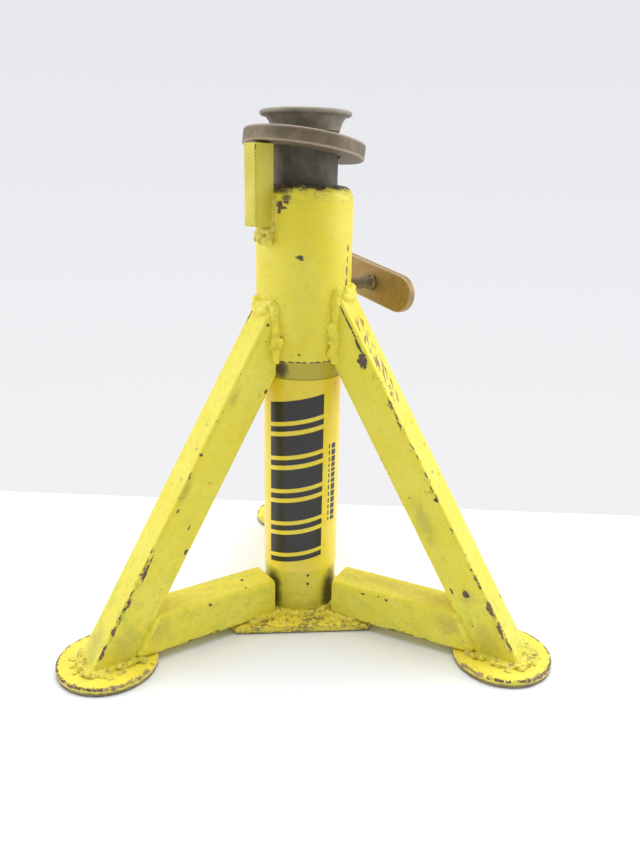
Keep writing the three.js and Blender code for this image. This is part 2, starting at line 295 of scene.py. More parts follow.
def bar(section, axes, start_of, end_of, bore=None, step=4.0):
    """A bar with a closed section. axes is a 4x4 matrix whose X and Y span the section; start_of
    and end_of give where the bar starts and ends for a point of the section."""
    shape = Shape()

    def skin(section):
        span = max(end_of(p) - start_of(p) for p, _ in section)
        steps = max(2, round(span / step))
        fractions = [grade / span for grade in (0, 0.5, 1.1, 2.0, 3.2)]
        fractions += [k / steps for k in range(1, steps)]
        fractions += [1 - fraction for fraction in reversed(fractions[:5])]
        rings = []
        for fraction in sorted(fractions):
            places = []
            distances = []
            for point, distance in section:
                first = start_of(point)
                last = end_of(point)
                along = first + (last - first) * fraction
                places.append(Vector((point.x, point.y, along)))
                distances.append(min(distance, along - first, last - along))
            rings.append(shape.ring([axes @ place for place in places], distances, places))
        for first, second in zip(rings, rings[1:]):
            shape.bridge(first, second)
        return rings

    outer = skin(section)
    if bore:
        inner = skin(bore)
        shape.bridge(outer[0], inner[0])
        shape.bridge(outer[-1], inner[-1])
    else:
        shape.fan(outer[0])
        shape.fan(outer[-1])
    return shape


def slab(section, centre, bottom, top, bevel):
    """A plate with rounded edges, from a convex outline round a centre. The faces carry rings
    of points near the edge."""
    shape = Shape()
    count = len(section)
    points = [point for point, _ in section]
    normals = []
    for i in range(count):
        along = points[(i + 1) % count] - points[i - 1]
        normals.append(Vector((along.y, -along.x)).normalized())
    turns = [step / 4 * math.pi / 2 for step in range(5)]

    def face(height, side):
        """Rings from the middle of a face out to its edge, then round the bevel."""
        rings = []
        for inset in (30, 20, 12, *reversed(GRADES)):
            shrunk = []
            for point, normal in zip(points, normals):
                flat = point - normal * bevel - centre
                shrunk.append(centre + flat * max(1 - inset / flat.length, 0.05))
            ring = [Vector((*point, height)) for point in shrunk]
            rings.append(shape.ring(ring, [float(inset)] * count))
        for turn in turns:
            inset = bevel * (1 - math.sin(turn))
            rise = height - side * bevel * (1 - math.cos(turn))
            ring = [
                Vector((*(point - normal * inset), rise))
                for point, normal in zip(points, normals)
            ]
            rings.append(shape.ring(ring, [0.0] * count))
        return rings

    under = face(bottom, -1)
    over = face(top, 1)
    wall = shape.ring(
        [Vector((*point, (bottom + top) / 2)) for point in points],
        [(top - bottom) / 2 - bevel] * count,
    )
    rings = under + [wall] + over[::-1]
    shape.close(rings)
    return shape


# ---- welds, built up from overlapping drops of metal ----


def drops(path, radius, spacing, rng, jitter=0.25):
    """Drops of metal along a path of points, as (centre, radii) pairs."""
    result = []
    carried = 0.0
    for first, second in zip(path, path[1:]):
        length = (second - first).length
        while carried < length:
            size = radius * (1 + rng.uniform(-jitter, jitter))
            shift = Vector([rng.uniform(-1, 1) for _ in range(3)]) * radius * jitter * 0.6
            centre = first.lerp(second, carried / length) + shift
            result.append((centre, Vector((size, size, size))))
            carried += spacing
        carried -= length
    return result


def lumps(path, width, size, spacing, rng):
    """Loose drops of mixed size within a band along a path."""
    result = []
    for centre, radii in drops(path, size, spacing, rng, 0):
        shift = Vector([rng.uniform(-1, 1) for _ in range(3)]) * width / 2
        result.append((centre + shift, radii * rng.uniform(0.45, 1.0)))
    return result


def ball():
    """The points and faces of a ball of radius 1."""
    work = bmesh.new()
    bmesh.ops.create_icosphere(work, subdivisions=2, radius=1)
    points = [vertex.co.copy() for vertex in work.verts]
    faces = [[vertex.index for vertex in face.verts] for face in work.faces]
    work.free()
    return points, faces


BALL_POINTS, BALL_FACES = ball()


def melted(name, metal, voxel=0.75, ripple=0.6):
    """One rippled skin round all the drops."""
    points = []
    faces = []
    for centre, radii in metal:
        start = len(points)
        points += [(centre + point * radii) * MM for point in BALL_POINTS]
        faces += [[start + index for index in face] for face in BALL_FACES]
    mesh = bpy.data.meshes.new(name)
    mesh.from_pydata(points, [], faces)
    thing = in_scene(name, mesh)
    remesh = thing.modifiers.new("skin", "REMESH")
    remesh.mode = "VOXEL"
    remesh.voxel_size = voxel * MM
    soften = thing.modifiers.new("soften", "SMOOTH")
    soften.iterations = 2
    soften.factor = 0.5
    result = with_modifiers(thing)
    bpy.data.meshes.remove(mesh)
    places = [vertex.co / MM for vertex in result.vertices]
    normals = [vertex.normal.copy() for vertex in result.vertices]
    for vertex, place, normal in zip(result.vertices, places, normals):
        lift = noise.noise(place / 2) * ripple
        vertex.co = (place + normal * lift) * MM
    set_attributes(result, [FAR] * len(places), places)
    return result


# ---- material graphs ----


class Graph:
    """A short way to write a node material."""

    def __init__(self, name):
        self.material = bpy.data.materials.new(name)
        self.material.use_nodes = True
        self.tree = self.material.node_tree
        self.tree.nodes.clear()
        output = self.tree.nodes.new("ShaderNodeOutputMaterial")
        self.shader = self.tree.nodes.new("ShaderNodeBsdfPrincipled")
        self.tree.links.new(self.shader.outputs[0], output.inputs["Surface"])
        self.local = self.attribute("local", "Vector")
        self.edge = self.attribute("edge", "Fac")

    def set(self, socket, value):
        if isinstance(value, bpy.types.NodeSocket):
            self.tree.links.new(value, socket)
        elif isinstance(value, tuple) and len(value) == 3 and socket.type == "RGBA":
            socket.default_value = (*value, 1)
        else:
            socket.default_value = value

    def node(self, kind, inputs=(), **settings):
        node = self.tree.nodes.new("ShaderNode" + kind)
        for key, value in settings.items():
            setattr(node, key, value)
        for key, value in dict(inputs).items():
            self.set(node.inputs[key], value)
        return node

    def attribute(self, name, output):
        return self.node("Attribute", attribute_name=name).outputs[output]

    def noise(self, size, detail=3.0, roughness=0.55, distortion=0.0, vector=None):
        """Noise whose features are about size mm across."""
        inputs = {
            "Vector": vector or self.local,
            "Scale": 1 / size,
            "Detail": detail,
            "Roughness": roughness,
            "Distortion": distortion,
        }
        return self.node("TexNoise", inputs).outputs["Fac"]

    def stretched(self, x, y, z):
        """The local place, squeezed so that noise runs long in one direction."""
        return self.vector("MULTIPLY", self.local, (1 / x, 1 / y, 1 / z))[0]

    def math(self, operation, first, second=0.0):
        return self.node("Math", {0: first, 1: second}, operation=operation).outputs[0]

    def times(self, first, second):
        return self.math("MULTIPLY", first, second)

    def plus(self, first, second):
        return self.math("ADD", first, second)

    def minus(self, first, second):
        return self.math("SUBTRACT", first, second)

    def larger(self, first, second):
        return self.math("MAXIMUM", first, second)

    def vector(self, operation, first, second=(0, 0, 0)):
        return self.node("VectorMath", {0: first, 1: second}, operation=operation).outputs

    def axes(self, vector):
        return self.node("SeparateXYZ", {0: vector}).outputs

    def step(self, value, start, end, low=0.0, high=1.0):
        """Runs smoothly from low to high as value goes from start to end."""
        inputs = {"Value": value, "From Min": start, "From Max": end, "To Min": low, "To Max": high}
        return self.node("MapRange", inputs, interpolation_type="SMOOTHSTEP").outputs[0]

    def mix(self, factor, first, second):
        return self.node("Mix", {0: factor, 6: first, 7: second}, data_type="RGBA").outputs[2]

    def nearness(self, centre, radii):
        """Distance from a place in local mm, counted in radii."""
        away = self.vector("SUBTRACT", self.local, centre)[0]
        scaled = self.vector("MULTIPLY", away, tuple(1 / radius for radius in radii))[0]
        return self.vector("LENGTH", scaled)["Value"]

    def bump(self, layers):
        """Stacks (height, depth in mm) layers of relief."""
        normal = None
        for height, depth in layers:
            node = self.node("Bump", {"Height": height, "Strength": 1.0, "Distance": depth * MM})
            if normal:
                self.tree.links.new(normal, node.inputs["Normal"])
            normal = node.outputs["Normal"]
        self.set(self.shader.inputs["Normal"], normal)

    def finish(self, **inputs):
        for name, value in inputs.items():
            self.set(self.shader.inputs[name.replace("_", " ")], value)
        return self.material


# ---- colours, linear ----

LEMON = (0.88, 0.765, 0.045)
LEMON_PALE = (0.94, 0.86, 0.13)
LEMON_OLIVE = (0.62, 0.54, 0.045)
LIME = (0.66, 0.69, 0.035)
PAD_YELLOW = (0.95, 0.80, 0.075)
PIPE_YELLOW = (0.84, 0.72, 0.05)
# darker tan under the sleeve: painted shade with brown dirt
PIPE_SHADED_TAN = (0.60, 0.50, 0.055)
GRIME = (0.34, 0.28, 0.06)
# nearly black: soot, and painted shade
SOOT_AND_SHADE = (0.07, 0.055, 0.035)
RUST = (0.26, 0.14, 0.07)
CHIP = (0.115, 0.08, 0.055)
CHIP_OLIVE = (0.17, 0.14, 0.05)
LABEL_YELLOW = (0.95, 0.74, 0.03)
INK = (0.022, 0.022, 0.018)


def painted(
    name, color=LEMON, marks=(), worn=(), dirty=(), soot_and_shade=(), layers=(),
    grime=0.15, chips=0.5, rust=0.3, specks=0.5, lime=0.5,
):
    """Brushed-on yellow paint. marks are chips at (centre, radii) places, worn places have many
    chips along the edges, dirty ones are greyed, and the places of the next list are painted
    nearly black, as soot and as painted shade. layers are (function, its sizes) tuples that go
    over the chips."""
    g = Graph(name)
    fine = g.noise(1.1, 4, 0.6)
    medium = g.noise(5.0, 4, 0.55)
    broad = g.noise(28.0, 3, 0.5)
    ragged = g.plus(g.times(fine, 1.4), g.times(medium, 2.2))

    faded = tuple(0.55 * full + 0.45 * pale for full, pale in zip(color, LEMON_PALE))
    tone = g.mix(g.step(broad, 0.35, 0.7), color, faded)
    tone = g.mix(g.step(medium, 0.45, 0.75, 0, 0.22), tone, LEMON_OLIVE)
    height = g.axes(g.node("TexCoord").outputs["Object"])["Z"]
    low_down = g.step(height, 0.12, 0.0, 0, 1)
    patchy = g.step(g.noise(7.0, 8, 0.72), 0.45, 0.75)
    speckled = g.step(g.noise(1.3, 5, 0.75), 0.56, 0.74)
    fresh = g.times(g.step(g.noise(15.0, 4, 0.6), 0.5, 0.66), low_down)
    tone = g.mix(g.times(fresh, lime), tone, LIME)
    dirt = g.times(patchy, g.plus(g.times(low_down, 0.3), grime * 0.8))
    dusty = g.times(speckled, g.plus(g.times(low_down, 0.9), grime * 0.8))
    dirt = g.larger(dirt, dusty)
    for centre, radii in dirty:
        away = g.plus(g.nearness(centre, radii), g.times(g.noise(6.0, 6, 0.7), 1.6))
        dirt = g.larger(dirt, g.step(away, 2.0, 0.8, 0, 0.55))
    tone = g.mix(g.times(dirt, 0.8), tone, GRIME)

    zone = g.times(broad, 0.06)
    for centre, radii in worn:
        zone = g.larger(zone, g.step(g.nearness(centre, radii), 1.2, 0.4, 0, 0.2))
    reach = g.step(g.edge, 0.0, 3.6, 0.0, 0.5)
    crumble = g.noise(1.0, 5, 0.66, 0.4, g.stretched(2.2, 2.2, 5.0))
    limit = g.minus(g.plus(0.8 - 0.16 * chips, reach), zone)
    chipped = g.step(g.minus(crumble, limit), -0.004, 0.006)
    sparse = g.times(g.noise(1.6, 2, 0.5), g.step(g.noise(13, 2, 0.5), 0.42, 0.72))
    chipped = g.larger(chipped, g.step(sparse, 0.68 - 0.07 * specks, 0.70 - 0.07 * specks))
    for centre, radii in marks:
        shifted = g.plus(g.nearness(centre, radii), ragged)
        chipped = g.larger(chipped, g.step(shifted, 2.74, 2.6))

    bare = g.mix(g.step(g.noise(4.0, 4, 0.6), 0.62 - 0.3 * rust, 0.7), CHIP, RUST)
    bare = g.mix(g.step(medium, 0.45, 0.6, 0, 0.7), bare, CHIP_OLIVE)
    bare = g.mix(g.step(fine, 0.4, 0.8, 0, 0.5), bare, SOOT_AND_SHADE)
    tone = g.mix(chipped, tone, bare)
    for layer, *sizes in layers:
        tone = layer(g, tone, *sizes)
    # nearly black places: soot, and painted shade on the pipe under the sleeve and beside the strut ends
    for centre, radii in soot_and_shade:
        away = g.plus(g.nearness(centre, radii), g.times(medium, 0.9))
        tone = g.mix(g.step(away, 1.7, 0.9, 0, 0.85), tone, SOOT_AND_SHADE)
    g.bump([
        (g.noise(30.0, 2, 0.5), 0.5),
        (g.noise(1.9, 3, 0.55), 0.09),
        (chipped, -0.14),
    ])
    gloss = g.plus(g.step(medium, 0.3, 0.8, 0.36, 0.55), g.times(dirt, 0.2))
    gloss = g.larger(gloss, g.times(chipped, 0.75))
    return g.finish(Base_Color=tone, Roughness=gloss)


def bare_within(g, tone, radius):
    """Unpainted metal, dark with soot, close round the post."""
    away = g.vector("LENGTH", g.vector("MULTIPLY", g.local, (1, 1, 0))[0])["Value"]
    ragged = g.times(g.noise(4.5, 5, 0.65), 14)
    mask = g.step(g.plus(away, ragged), radius + 7.6, radius + 6.6)
    metal = g.mix(g.step(g.noise(5.0, 4, 0.6), 0.4, 0.6), (0.13, 0.11, 0.065), (0.32, 0.27, 0.14))
    metal = g.mix(g.step(g.noise(2.2, 4, 0.6), 0.52, 0.62), metal, (0.035, 0.04, 0.022))
    return g.mix(mask, tone, metal)


def dark_below(g, tone, height):
    """A cut edge whose lower part, next to the floor, is painted dark: bare steel with painted shade."""
    z = g.axes(g.local)["Z"]
    ragged = g.times(g.noise(3.0, 4, 0.6), 3.0)
    mask = g.step(g.plus(z, ragged), height + 2.2, height + 0.9)
    return g.mix(g.times(mask, 0.85), tone, (0.17, 0.145, 0.085))


def pitted(g, tone, amount):
    """Rough, spattered metal: the paint is broken by brown pits and streaks lying flat."""
    pits = g.noise(1.0, 6, 0.72, 0.3, g.stretched(4.0, 4.0, 1.5))
    zone = g.times(g.step(g.noise(14.0, 3, 0.5), 0.35, 0.65), 0.09)
    mask = g.step(g.plus(pits, zone), 0.66 - 0.1 * amount, 0.72 - 0.1 * amount)
    brown = g.mix(g.step(g.noise(2.0, 3, 0.6), 0.45, 0.6), (0.36, 0.24, 0.10), (0.16, 0.11, 0.055))
    return g.mix(g.times(mask, 0.85), tone, brown)


def tan_above(g, tone, height):
    """Darker, browner paint above a height, on the pipe just under the sleeve: painted shade along with
    brown dirt.
    """
    z = g.axes(g.local)["Z"]
    mask = g.step(z, height, height + 12)
    return g.mix(g.times(mask, 0.9), tone, PIPE_SHADED_TAN)


def flaked(g, tone, hand, start, end, amount):
    """Paint flaked off along one long edge of a leg's outer face."""
    along = g.axes(g.local)["Z"]
    inside = g.times(g.step(along, start, start + 5), g.step(along, end, end - 5))
    away = g.nearness((hand * LEG_SIDE / 2, LEG_SIDE / 2, 0), (1, 1, 1e6))
    torn = g.noise(1.0, 6, 0.7, 0.3, g.stretched(3.0, 3.0, 9.0))
    loss = g.minus(torn, g.times(away, 0.055))
    limit = 0.6 - 0.16 * amount
    mask = g.times(g.step(loss, limit - 0.006, limit + 0.006), inside)
    steel = g.mix(g.step(g.noise(2.5, 4, 0.6), 0.45, 0.6), CHIP, RUST)
    return g.mix(mask, tone, steel)


def scuffed(g, tone, start, end, middle_line, reach):
    """Brown slanting scuffs along the outer face of a leg."""
    axes = g.axes(g.local)
    inside = g.times(g.step(axes["Z"], start, start + 6), g.step(axes["Z"], end, end - 6))
    inside = g.times(inside, g.step(axes["Y"], LEG_SIDE / 2 - 0.4, LEG_SIDE / 2 - 0.2))
    off = g.math("ABSOLUTE", g.minus(axes["X"], middle_line))
    across = g.times(g.minus(axes["X"], g.times(axes["Z"], 0.7)), 0.26)
    along = g.times(g.plus(axes["Z"], g.times(axes["X"], 0.7)), 0.07)
    slanted = g.node("CombineXYZ", {0: across, 1: along, 2: 0.0}).outputs[0]
    streaks = g.noise(1.0, 4, 0.6, 0.2, slanted)
    fade = g.step(off, reach * 0.6, reach, 0, 0.25)
    mask = g.step(g.minus(streaks, fade), 0.515, 0.54)
    mask = g.times(mask, inside)
    return g.mix(g.times(mask, 0.9), tone, (0.25, 0.125, 0.055))


def weathered(name, dark, light, metallic, roughness, edge_wear_and_highlight, grain=(1, 1, 1)):
    """Bare or plated metal with stains and fine marks; its edges are painted lighter, for wear and as a
    painted highlight.
    """
    g = Graph(name)
    stains = g.noise(9.0, 6, 0.6, 0.3)
    fine = g.noise(0.8, 3, 0.6)
    streaks = g.noise(1.0, 4, 0.6, 0.0, g.stretched(*grain))
    tone = g.mix(g.step(stains, 0.35, 0.68), dark, light)
    tone = g.mix(g.step(streaks, 0.45, 0.75, 0, 0.45), tone, tuple(c * 0.55 for c in dark))
    # edges painted lighter: wear, and a painted highlight along them
    worn = g.step(g.plus(g.edge, g.times(stains, 1.2)), 1.6, 0.5)
    tone = g.mix(g.times(worn, 0.75), tone, edge_wear_and_highlight)
    gloss = g.plus(roughness - 0.12, g.times(stains, 0.24))
    g.bump([(streaks, 0.05), (fine, 0.04), (g.noise(6.0, 3, 0.5), 0.12)])
    return g.finish(Base_Color=tone, Roughness=gloss, Metallic=metallic)


def vinyl():
    g = Graph("label_vinyl")
    fine = g.noise(1.2, 4, 0.6)
    broad = g.noise(24.0, 3, 0.5)
    tone = g.mix(g.step(broad, 0.3, 0.75), LABEL_YELLOW, (0.95, 0.78, 0.085))
    soiled = g.step(g.noise(7.0, 5, 0.65), 0.52, 0.78, 0, 0.35)
    tone = g.mix(soiled, tone, (0.5, 0.42, 0.09))
    scuffs = g.noise(1.0, 3, 0.6, 0.0, g.stretched(0.5, 0.5, 9))
    tone = g.mix(g.step(scuffs, 0.66, 0.78, 0, 0.35), tone, (0.93, 0.87, 0.42))
    g.bump([(broad, 0.12), (fine, 0.015)])
    return g.finish(Base_Color=tone, Roughness=g.step(fine, 0.2, 0.8, 0.24, 0.42))


def printed():
    g = Graph("label_print")
    scuffs = g.step(g.noise(1.3, 4, 0.65), 0.62, 0.72, 0, 0.5)
    tone = g.mix(scuffs, INK, (0.16, 0.13, 0.03))
    g.bump([(g.noise(1.2, 3, 0.5), 0.01)])
    return g.finish(Base_Color=tone, Roughness=g.step(scuffs, 0, 1, 0.3, 0.5))


# ---- legs, struts and feet ----


class Leg:
    """One leg's place in the frame, worked out from its CAD nodes."""

    def __init__(self, side):
        self.side = side
        self.pad = middle(f"foot_pad_{side}")
        self.out = Vector((self.pad.x, self.pad.y, 0)).normalized()
        self.across = Vector((-self.out.y, self.out.x, 0))
        up = Vector((0, 0, 1))
        self.along = up * math.cos(LEG_LEAN) - self.out * math.sin(LEG_LEAN)
        self.normal = up * math.sin(LEG_LEAN) + self.out * math.cos(LEG_LEAN)
        half = LEG_SIDE / 2 / math.cos(LEG_LEAN)
        corners = points_of(f"leg_{side}")
        self.reach = max(p.dot(self.out) + LEG_SLOPE * p.z for p in corners) - half
        self.strut_start = min(p.dot(self.out) for p in points_of(f"strut_{side}"))

    def at(self, out, across, height):
        return self.out * out + self.across * across + Vector((0, 0, height))

    def axes(self, origin, y, z):
        """Axes for a bar, with X across the leg."""
        rotation = Matrix((self.across, y, z)).transposed().to_4x4()
        return Matrix.Translation(origin) @ rotation


LEGS = {side: Leg(side) for side in ("left", "right", "rear")}


def leg_mesh(leg):
    section = outline(square(LEG_SIDE), TUBE_CORNER)
    sin = math.sin(LEG_LEAN)
    cos = math.cos(LEG_LEAN)

    def start_of(point):
        return (WELD_FLOOR - point.y * sin) / cos

    def end_of(point):
        out = math.sqrt((SLEEVE_RADIUS + 0.3) ** 2 - point.x**2)
        return (leg.reach + point.y * cos - out) / sin

    axes = leg.axes(leg.out * leg.reach, leg.normal, leg.along)
    return bar(section, axes, start_of, end_of)


def strut_mesh(leg):
    section = outline(square(STRUT_SIDE), TUBE_CORNER)
    scale = 1 - 2 * TUBE_WALL / STRUT_SIDE
    bore = [(point * scale, FAR) for point, _ in section]

    def start_of(_):
        return leg.strut_start

    def end_of(point):
        height = WELD_FLOOR + STRUT_SIDE / 2 + point.y
        face = leg.reach - LEG_SIDE / 2 / math.cos(LEG_LEAN) - LEG_SLOPE * height
        return face - 0.3

    origin = Vector((0, 0, WELD_FLOOR + STRUT_SIDE / 2))
    axes = leg.axes(origin, Vector((0, 0, 1)), leg.out)
    return bar(section, axes, start_of, end_of, bore)


def pad_mesh(leg, seed):
    """A flame-cut disc."""
    radius = radius_of(f"foot_pad_{leg.side}") - 0.25
    corners = [Vector((math.cos(k * math.tau / 96), math.sin(k * math.tau / 96))) for k in range(96)]
    centre = Vector((leg.pad.x, leg.pad.y))
    section = [(centre + corner * radius, 0.0) for corner in corners]
    shape = slab(section, centre, 0.05, PLATE_THICKNESS, 0.7)
    rng = random.Random(seed)
    lobes = [(rng.randint(5, 23), rng.uniform(0, math.tau)) for _ in range(4)]
    for i, point in enumerate(shape.points):
        flat = Vector((point.x, point.y)) - centre
        turn = math.atan2(flat.y, flat.x)
        bite = sum(math.sin(turn * count + phase) for count, phase in lobes) / len(lobes)
        flat *= 1 + 0.2 * (bite - 1) / radius * max(flat.length / radius, 0)
        shape.points[i] = Vector((centre.x + flat.x, centre.y + flat.y, point.z))
    shape.locals = [point.copy() for point in shape.points]
    return shape


def leg_top_metal(leg, rng):
    """Weld up one side of the leg, over its outer face and down the other side."""
    half = LEG_SIDE / 2

    def meeting(across):
        """How far out and how high the leg's outer face meets the sleeve."""
        out = math.sqrt(SLEEVE_RADIUS**2 - across**2)
        return out, (leg.reach + half / math.cos(LEG_LEAN) - out) / LEG_SLOPE

    out, top = meeting(half)
    metal = []
    for hand in (-1, 1):
        side = [
            leg.at(out + 1.4, hand * (half + 1.2), SLEEVE_BOTTOM + 2),
            leg.at(out + 0.8, hand * (half + 1.0), (SLEEVE_BOTTOM + top) / 2),
            leg.at(out + 0.2, hand * (half - 1.8), top - 2.0),
        ]
        metal += drops(side, 3.6, 1.6, rng, 0.2)
        metal += lumps(side[:2], 6.5, 3.6, 1.0, rng)
    over = []
    for k in range(-5, 6):
        across = k / 5 * half * 0.8
        out, rise = meeting(across)
        over.append(leg.at(out + 0.8, across, rise + 0.2))
    metal += drops(over, 3.3, 1.2, rng, 0.15)
    metal += lumps(over[1:-1], 4.5, 3.0, 0.8, rng)
    lower = [place + leg.out * 2.2 - Vector((0, 0, 3.4)) for place in over[1:-1]]
    metal += drops(lower, 2.8, 1.4, rng, 0.15)
    return metal


def foot_metal(leg, rng):
    half = LEG_SIDE / 2
    middle_out = leg.reach - LEG_SLOPE * WELD_FLOOR
    depth = half / math.cos(LEG_LEAN)
    metal = []
    for hand in (-1, 1):
        side = [
            leg.at(middle_out - depth - 6, hand * (STRUT_SIDE / 2 + 0.4), WELD_FLOOR),
            leg.at(middle_out - depth + 4, hand * (half + 0.6), WELD_FLOOR),
            leg.at(middle_out + depth - 3, hand * (half + 0.6), WELD_FLOOR),
            leg.at(middle_out + depth + 0.6, hand * (half - 3), WELD_FLOOR),
        ]
        metal += drops(side, 2.6, 1.4, rng)
        metal += lumps(side, 8.5, 2.4, 0.45, rng)
    for _ in range(70):
        turn = rng.uniform(-1.9, 1.9)
        reach = rng.uniform(15, 25)
        place = leg.at(middle_out + 3 + reach * math.cos(turn), reach * math.sin(turn), WELD_FLOOR)
        size = rng.uniform(1.2, 3.0)
        metal.append((place, Vector((size, size * rng.uniform(0.7, 1.2), 0.5 + 0.35 * size))))
    front = [leg.at(middle_out + depth + 0.8, across, WELD_FLOOR) for across in (-half + 3, half - 3)]
    metal += drops(front, 2.8, 1.4, rng)
    metal += lumps(front, 9.0, 2.6, 0.35, rng)
    flat = []
    for centre, radii in metal:
        centre.z = min(centre.z, WELD_FLOOR + 1.8)
        flat.append((centre, Vector((radii.x, radii.y, radii.z * 0.85))))
    return flat


def strut_end_metal(leg, hand, rng):
    path = []
    for height in (WELD_FLOOR + 6, WELD_FLOOR + STRUT_SIDE - 3):
        out = leg.reach - LEG_SIDE / 2 / math.cos(LEG_LEAN) - LEG_SLOPE * height
        path.append(leg.at(out + 0.4, hand * (STRUT_SIDE / 2 - 1.6), height))
    return drops(path, 3.3, 1.1, rng, 0.12)


def add_weld(node, metal, material, name=None, body="frame", slot="yellow_paint", **shaping):
    name = name or f"{node}_bead"
    add_piece(name, melted(name, metal, **shaping), body, material, node, 80)


def add_leg(leg, materials, seed):
    side = leg.side
    rng = random.Random(seed)
    for node, ending, mesh, slot in (
        (f"leg_{side}", "tube", leg_mesh(leg), "yellow_paint"),
        (f"strut_{side}", "tube", strut_mesh(leg), "yellow_paint"),
        (f"foot_pad_{side}", "disc", pad_mesh(leg, seed), "pad_paint"),
    ):
        material = materials[node.removeprefix("foot_")]
        add_piece(f"{node}_{ending}", mesh, "frame", material, node)
    add_weld(f"leg_top_weld_{side}", leg_top_metal(leg, rng), materials["weld"])
    add_weld(f"foot_weld_{side}", foot_metal(leg, rng), materials["foot_weld"])
    for letter, hand in (("a", -1), ("b", 1)):
        metal = strut_end_metal(leg, hand, rng)
        add_weld(f"strut_weld_{side}_{letter}", metal, materials["weld"], ripple=0.2)


# ---- base ----


def base_corners():
    """The corners of the base plate, anticlockwise, from its CAD node."""
    corners = {}
    for point in points_of("base_plate"):
        key = (round(point.x, 1), round(point.y, 1))
        corners[key] = Vector((point.x, point.y))
    return sorted(corners.values(), key=lambda corner: math.atan2(corner.y, corner.x))


def base_mesh():
    section = outline(base_corners(), 2.0, 4)
    return slab(section, Vector((0, 0)), 0.3, PLATE_THICKNESS, 0.6).roughened(0.25, 5)


def base_metal():
    """Weld round the foot of the pipe and along the struts, with spatter over the plate."""
    rng = random.Random(31)
    ring = [
        Vector((math.cos(k / 48 * math.tau), math.sin(k / 48 * math.tau), 0)) * (PIPE_RADIUS + 1)
        + Vector((0, 0, WELD_FLOOR + 0.5))
        for k in range(49)
    ]
    metal = drops(ring, 3.2, 1.8, rng)
    for leg in LEGS.values():
        for hand in (-1, 1):
            side = [
                leg.at(PIPE_RADIUS + 1, hand * (STRUT_SIDE / 2 + 1.2), WELD_FLOOR),
                leg.at(58, hand * (STRUT_SIDE / 2 + 0.6), WELD_FLOOR),
            ]
            metal += drops(side, 3.2, 1.6, rng)
            metal += lumps(side, 5.5, 2.8, 1.1, rng)
    plate = [corner * 0.93 for corner in base_corners()]
    for _ in range(150):
        first, second = rng.choice(list(zip(plate, plate[1:] + plate[:1])))
        spot = first.lerp(second, rng.random()) * rng.uniform(0.72, 1.0)
        size = rng.uniform(0.8, 2.6)
        centre = Vector((spot.x, spot.y, PLATE_THICKNESS - size * 0.3))
        metal.append((centre, Vector((size * 1.4, size * 1.2, size * 0.8))))
    return metal


# ---- standing pipe, sleeve, label and ring rest ----


def with_hole(shape, name):
    """The shape with the clamp screw's hole bored through one side."""
    thing = in_scene(name, mesh_from(shape, name))
    bore = Shape()
    rings = [bore.ring(circle(along, CLAMP_HOLE, 32), [0.0] * 32) for along in (10, 60)]
    bore.close(rings)
    cutter = in_scene("cutter", mesh_from(bore.moved(CLAMP_PLACE), "cutter"))
    cut = thing.modifiers.new("hole", "BOOLEAN")
    cut.operation = "DIFFERENCE"
    cut.object = cutter
    cut.solver = "EXACT"
    result = with_modifiers(thing)
    bpy.data.objects.remove(cutter)
    return result


def pipe_profile(node, corner):
    """The outline of a pipe's wall from its CAD node; the bore is the innermost point."""
    bore = min(math.hypot(p.x, p.y) for p in points_of(node))
    return outline(rectangle(bore, low(node).z, radius_of(node), high(node).z), corner, 4)


def sleeve_weld_mesh():
    """The lumpy weld that closes the sleeve in to the post."""
    inner = radius_of("inner_post") + 0.7
    bottom = SLEEVE_TOP
    height = high("sleeve_top_weld").z - SLEEVE_TOP - 0.8
    profile = [(Vector((inner, bottom)), FAR), (Vector((SLEEVE_RADIUS, bottom)), FAR)]
    steps = 18
    for step in range(1, steps + 1):
        turn = step / steps * math.pi / 2
        reach = inner + 0.6 + (SLEEVE_RADIUS - inner - 0.6) * max(math.cos(turn), 0) ** 0.85
        profile.append((Vector((reach, bottom + height * math.sin(turn) ** 0.85)), FAR))
    for drop in (0.0, 1.2, 3.0):
        profile.append((Vector((inner, bottom + height - drop)), FAR))
    shape = lathe(profile, 220)
    for i, point in enumerate(shape.points):
        rise = min(max((point.z - bottom) / height, 0), 1)
        lump = noise.noise(point / 7) * 1.3 + noise.noise(point / 2.4) * 0.8 - 0.1
        out = Vector((point.x, point.y, 0)).normalized()
        wall = 1 if point.dot(out) > inner + 1 else 0
        shape.points[i] = point + out * min(lump, 0.15) * rise * wall + Vector((0, 0, lump * rise * 0.8))
    return shape


def rest_mesh():
    """The square block beside the ring, with rounded corners."""
    bottom = low("ring_rest_block").z
    top = high("ring_rest_block").z
    axes = BLOCK_TURN @ Matrix.Translation(((BLOCK_START + BLOCK_END) / 2, 0, 0))
    x = (BLOCK_END - BLOCK_START) / 2
    y = BLOCK_WIDTH / 2
    section = outline(rectangle(-x, -y, x, y), 1.8)
    return bar(section, axes, lambda _: bottom, lambda _: top, step=3.0)


def rest_metal():
    """A lump of weld under the block and a seam up each side of it."""
    rng = random.Random(7)
    bottom = low("ring_rest_block").z
    metal = []

    def at(out, across, height):
        return BLOCK_TURN @ Vector((out, across, height))

    for _ in range(56):
        out = SLEEVE_RADIUS + rng.uniform(-1.5, 4.5)
        across = rng.uniform(-7.5, 8.5)
        centre = at(out, across, bottom - rng.uniform(0, 11))
        size = rng.uniform(1.4, 3.2)
        metal.append((centre, Vector((size, size, size))))
    for hand in (-1, 1):
        across = hand * (BLOCK_WIDTH / 2 - 0.3)
        out = math.sqrt(SLEEVE_RADIUS**2 - across**2)
        seam = [at(out - 0.2, across, bottom - 2), at(out - 0.8, across, SLEEVE_TOP + 2)]
        metal += drops(seam, 2.3, 1.2, rng, 0.15)
        metal += lumps(seam, 3.0, 1.8, 1.6, rng)
    return metal


